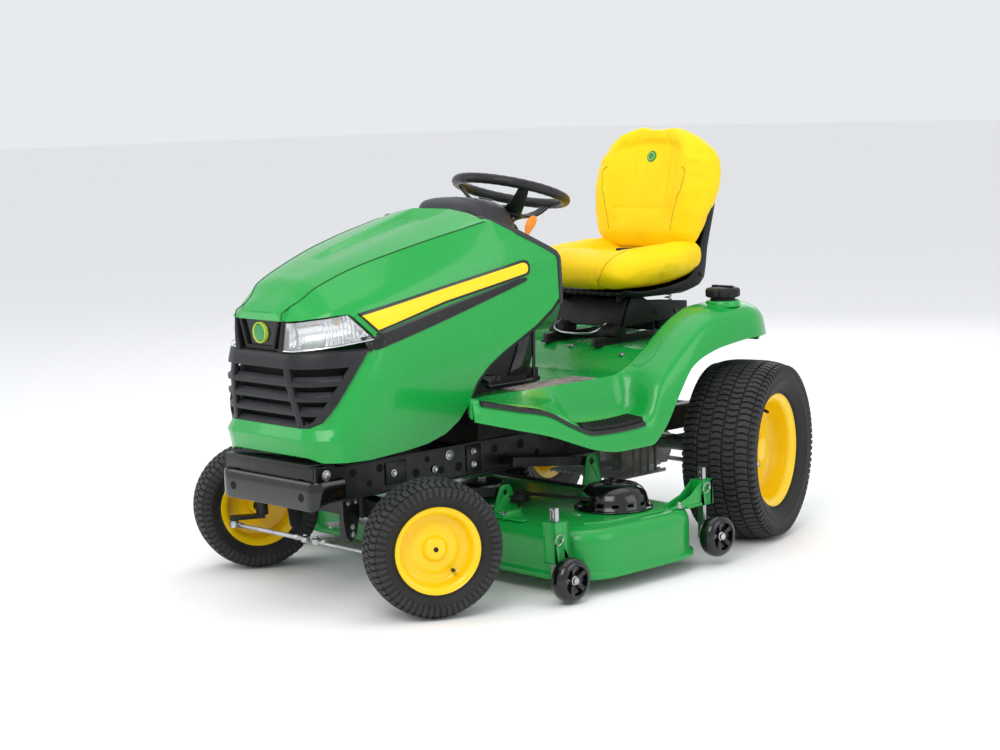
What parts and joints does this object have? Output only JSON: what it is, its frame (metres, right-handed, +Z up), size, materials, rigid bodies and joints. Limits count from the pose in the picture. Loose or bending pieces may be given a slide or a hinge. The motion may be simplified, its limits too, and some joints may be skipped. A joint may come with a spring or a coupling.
{
  "type": "riding lawn mower",
  "caption": "Garden tractor with a steerable front and rear axle, opening hood, sliding and tipping seat, and a mower deck that lifts below its frame.",
  "frame": {"origin": "on the floor below the middle of the machine's overall length and width", "axes": "+Z up; the tractor faces -Y, its left side is towards +X"},
  "size_m": [1.522, 1.9086, 1.3447],
  "materials": {
    "green_paint": "gloss green moulded panels",
    "deck_green": "gloss light green powder coat",
    "wheel_yellow": "gloss yellow enamel",
    "seat_vinyl": "soft yellow vinyl",
    "black_paint": "satin black powder coat",
    "black_plastic": "satin black moulding",
    "charcoal_plastic": "matt charcoal moulding",
    "tyre_rubber": "black tyre rubber",
    "belt_rubber": "black belt rubber",
    "clear_lens": "clear polycarbonate over a bright reflector",
    "bare_steel": "zinc-plated steel",
    "cast_aluminium": "cast aluminium",
    "orange_plastic": "orange moulding"
  },
  "bodies": {
    "chassis": {"frame": "black_paint", "engine": "cast_aluminium", "transaxle": "cast_aluminium", "console": "black_plastic", "dash_panel": "charcoal_plastic", "fender_deck": "green_paint"},
    "height_dial": {"height_knob": "black_plastic"},
    "filler_cap": {"fuel_cap": "black_plastic"},
    "hood": {"hood_shell": "green_paint", "grille": "charcoal_plastic", "headlight_right": "clear_lens", "headlight_left": "clear_lens"},
    "steering": {"steering_wheel": "black_plastic", "steering_shaft": "bare_steel"},
    "sector": {"sector_plate": "bare_steel"},
    "axle_beam": {"front_axle": "black_paint"},
    "rear_link": {"rear_tie_rod": "bare_steel"},
    "seat_carriage": {"seat_base": "black_plastic"},
    "seat": {"seat_shell": "black_plastic", "seat_cushion": "seat_vinyl", "seat_back": "seat_vinyl"},
    "draft_arms": {"front_draft_arms": "black_paint"},
    "lift_arms": {"rear_lift_arms": "black_paint"},
    "deck": {"deck_shell": "deck_green", "spindle_cover_left": "black_plastic", "spindle_cover_right": "black_plastic", "deck_belt": "belt_rubber", "gauge_leg_front_left": "bare_steel", "gauge_leg_front_right": "bare_steel", "gauge_leg_rear_left": "bare_steel", "gauge_leg_rear_right": "bare_steel"},
    "chute": {"discharge_chute": "black_plastic"},
    "throttle": {"throttle_lever": "orange_plastic"},
    "brake": {"brake_pedal": "black_paint"},
    "forward": {"forward_pedal": "black_paint"},
    "reverse": {"reverse_pedal": "black_paint"},
    "front_steering_left": {"front_knuckle_left": "black_paint"},
    "front_wheel_left": {"front_tyre_left": "tyre_rubber", "front_rim_left": "wheel_yellow"},
    "front_link_left": {"tie_rod_left": "bare_steel"},
    "rear_steering_left": {"rear_knuckle_left": "black_paint"},
    "rear_wheel_left": {"rear_tyre_left": "tyre_rubber", "rear_rim_left": "wheel_yellow"},
    "gauge_front_left": {"gauge_wheel_front_left": "black_plastic"},
    "gauge_rear_left": {"gauge_wheel_rear_left": "black_plastic"},
    "front_steering_right": {"front_knuckle_right": "black_paint"},
    "front_wheel_right": {"front_tyre_right": "tyre_rubber", "front_rim_right": "wheel_yellow"},
    "front_link_right": {"tie_rod_right": "bare_steel"},
    "rear_steering_right": {"rear_knuckle_right": "black_paint"},
    "rear_wheel_right": {"rear_tyre_right": "tyre_rubber", "rear_rim_right": "wheel_yellow"},
    "gauge_front_right": {"gauge_wheel_front_right": "black_plastic"},
    "gauge_rear_right": {"gauge_wheel_rear_right": "black_plastic"},
    "cutter_left": {"blade_left": "bare_steel", "spindle_left": "bare_steel"},
    "cutter_centre": {"blade_centre": "bare_steel", "spindle_centre": "bare_steel"},
    "cutter_right": {"blade_right": "bare_steel", "spindle_right": "bare_steel"}
  },
  "joints": [
    {"name": "hood_open", "type": "hinge", "parent": "chassis", "child": "hood", "pos_m": [0.069, -0.933, 0.455], "axis": [1, 0, 0], "range_deg": [0, 60]},
    {"name": "steering_turn", "type": "hinge", "parent": "chassis", "child": "steering", "pos_m": [0.069, 0.065, 1.149], "axis": [0, 0.284, 0.9588], "range_deg": [-36, 348]},
    {"name": "sector_turn", "type": "hinge", "parent": "chassis", "child": "sector", "pos_m": [0.069, -0.603, 0.22], "axis": [0, 0, 1], "range_deg": [-7, 59]},
    {"name": "axle_pivot", "type": "hinge", "parent": "chassis", "child": "axle_beam", "pos_m": [0.069, -0.683, 0.268], "axis": [0, 1, 0], "range_deg": [-5, 5]},
    {"name": "front_steer_left", "type": "hinge", "parent": "axle_beam", "child": "front_steering_left", "pos_m": [0.449, -0.683, 0.245], "axis": [0, 0, 1], "range_deg": [-7, 59]},
    {"name": "front_wheel_left_spin", "type": "hinge", "parent": "front_steering_left", "child": "front_wheel_left", "pos_m": [0.52899, -0.72202, 0.196], "axis": [0.8988, -0.4384, 0], "continuous": true},
    {"name": "front_link_left_turn", "type": "hinge", "parent": "front_steering_left", "child": "front_link_left", "pos_m": [0.41042, -0.76209, 0.155], "axis": [0, 0, 1], "range_deg": [-59, 7]},
    {"name": "rear_steer_left", "type": "hinge", "parent": "chassis", "child": "rear_steering_left", "pos_m": [0.388, 0.607, 0.29], "axis": [0, 0, 1], "range_deg": [-41, 5]},
    {"name": "rear_wheel_left_spin", "type": "hinge", "parent": "rear_steering_left", "child": "rear_wheel_left", "pos_m": [0.53636, 0.65521, 0.289], "axis": [0.9511, 0.309, 0], "continuous": true},
    {"name": "front_steer_right", "type": "hinge", "parent": "axle_beam", "child": "front_steering_right", "pos_m": [-0.311, -0.683, 0.245], "axis": [0, 0, 1], "range_deg": [-7, 59]},
    {"name": "front_wheel_right_spin", "type": "hinge", "parent": "front_steering_right", "child": "front_wheel_right", "pos_m": [-0.39099, -0.64398, 0.196], "axis": [0.8988, -0.4384, 0], "continuous": true},
    {"name": "front_link_right_turn", "type": "hinge", "parent": "front_steering_right", "child": "front_link_right", "pos_m": [-0.34958, -0.76209, 0.155], "axis": [0, 0, 1], "range_deg": [-59, 7]},
    {"name": "rear_steer_right", "type": "hinge", "parent": "chassis", "child": "rear_steering_right", "pos_m": [-0.25, 0.607, 0.29], "axis": [0, 0, 1], "range_deg": [-41, 5]},
    {"name": "rear_wheel_right_spin", "type": "hinge", "parent": "rear_steering_right", "child": "rear_wheel_right", "pos_m": [-0.39836, 0.55879, 0.289], "axis": [0.9511, 0.309, 0], "continuous": true},
    {"name": "rear_link_turn", "type": "hinge", "parent": "rear_steering_left", "child": "rear_link", "pos_m": [0.35864, 0.69735, 0.212], "axis": [0, 0, 1], "range_deg": [-5, 41]},
    {"name": "seat_slide", "type": "slide", "parent": "chassis", "child": "seat_carriage", "axis": [0, 1, 0], "range_m": [-0.06, 0.05]},
    {"name": "seat_flip", "type": "hinge", "parent": "seat_carriage", "child": "seat", "pos_m": [0.069, 0.424, 0.791], "axis": [1, 0, 0], "range_deg": [0, 50]},
    {"name": "deck_lift", "type": "hinge", "parent": "chassis", "child": "draft_arms", "pos_m": [0.069, -0.538, 0.29], "axis": [1, 0, 0], "range_deg": [0, 11]},
    {"name": "lift_arms_turn", "type": "hinge", "parent": "chassis", "child": "lift_arms", "pos_m": [0.069, -0.188, 0.34], "axis": [1, 0, 0], "range_deg": [0, 11]},
    {"name": "deck_level", "type": "hinge", "parent": "draft_arms", "child": "deck", "pos_m": [0.069, -0.223, 0.25], "axis": [1, 0, 0], "range_deg": [-11, 0]},
    {"name": "cutter_left_spin", "type": "hinge", "parent": "deck", "child": "cutter_left", "pos_m": [0.519, 0.007, 0.15], "axis": [0, 0, 1], "continuous": true},
    {"name": "cutter_centre_spin", "type": "hinge", "parent": "deck", "child": "cutter_centre", "pos_m": [0.069, -0.098, 0.15], "axis": [0, 0, 1], "continuous": true},
    {"name": "cutter_right_spin", "type": "hinge", "parent": "deck", "child": "cutter_right", "pos_m": [-0.381, 0.007, 0.15], "axis": [0, 0, 1], "continuous": true},
    {"name": "gauge_front_left_spin", "type": "hinge", "parent": "deck", "child": "gauge_front_left", "pos_m": [0.733, -0.38, 0.07], "axis": [1, 0, 0], "continuous": true},
    {"name": "gauge_front_right_spin", "type": "hinge", "parent": "deck", "child": "gauge_front_right", "pos_m": [-0.595, -0.38, 0.07], "axis": [1, 0, 0], "continuous": true},
    {"name": "gauge_rear_left_spin", "type": "hinge", "parent": "deck", "child": "gauge_rear_left", "pos_m": [0.733, 0.262, 0.092], "axis": [1, 0, 0], "continuous": true},
    {"name": "gauge_rear_right_spin", "type": "hinge", "parent": "deck", "child": "gauge_rear_right", "pos_m": [-0.595, 0.262, 0.092], "axis": [1, 0, 0], "continuous": true},
    {"name": "chute_lift", "type": "hinge", "parent": "deck", "child": "chute", "pos_m": [-0.615, -0.073, 0.172], "axis": [0, 1, 0], "range_deg": [0, 80]},
    {"name": "filler_cap_turn", "type": "hinge", "parent": "chassis", "child": "filler_cap", "pos_m": [0.481, 0.602, 0.79], "axis": [0, 0, 1], "range_deg": [0, 330]},
    {"name": "height_dial_turn", "type": "hinge", "parent": "chassis", "child": "height_dial", "pos_m": [0.219, -0.018, 0.58], "axis": [0, 0, 1], "range_deg": [-150, 150]},
    {"name": "throttle_tilt", "type": "hinge", "parent": "chassis", "child": "throttle", "pos_m": [0.239, -0.044, 1.006], "axis": [1, 0, 0], "range_deg": [-20, 20]},
    {"name": "brake_press", "type": "hinge", "parent": "chassis", "child": "brake", "pos_m": [0.314, -0.253, 0.604], "axis": [1, 0, 0], "range_deg": [0, 10], "stiffness_Nm_per_rad": 30, "springref_deg": -5.73},
    {"name": "forward_press", "type": "hinge", "parent": "chassis", "child": "forward", "pos_m": [-0.163, -0.253, 0.604], "axis": [1, 0, 0], "range_deg": [0, 10], "stiffness_Nm_per_rad": 30, "springref_deg": -5.73},
    {"name": "reverse_press", "type": "hinge", "parent": "chassis", "child": "reverse", "pos_m": [-0.201, -0.228, 0.59], "axis": [1, 0, 0], "range_deg": [0, 10], "stiffness_Nm_per_rad": 30, "springref_deg": -5.73}
  ],
  "couplings": [
    {"joint": "sector_turn", "follows": "steering_turn", "ratio": 0.16667},
    {"joint": "front_steer_left", "follows": "steering_turn", "ratio": 0.16667},
    {"joint": "front_link_left_turn", "follows": "steering_turn", "ratio": -0.16667},
    {"joint": "rear_steer_left", "follows": "steering_turn", "ratio": -0.1143},
    {"joint": "front_steer_right", "follows": "steering_turn", "ratio": 0.16667},
    {"joint": "front_link_right_turn", "follows": "steering_turn", "ratio": -0.16667},
    {"joint": "rear_steer_right", "follows": "steering_turn", "ratio": -0.1143},
    {"joint": "rear_link_turn", "follows": "steering_turn", "ratio": 0.1143},
    {"joint": "lift_arms_turn", "follows": "deck_lift", "ratio": 1},
    {"joint": "deck_level", "follows": "deck_lift", "ratio": -1},
    {"joint": "cutter_centre_spin", "follows": "cutter_left_spin", "ratio": 1},
    {"joint": "cutter_right_spin", "follows": "cutter_left_spin", "ratio": 1}
  ]
}
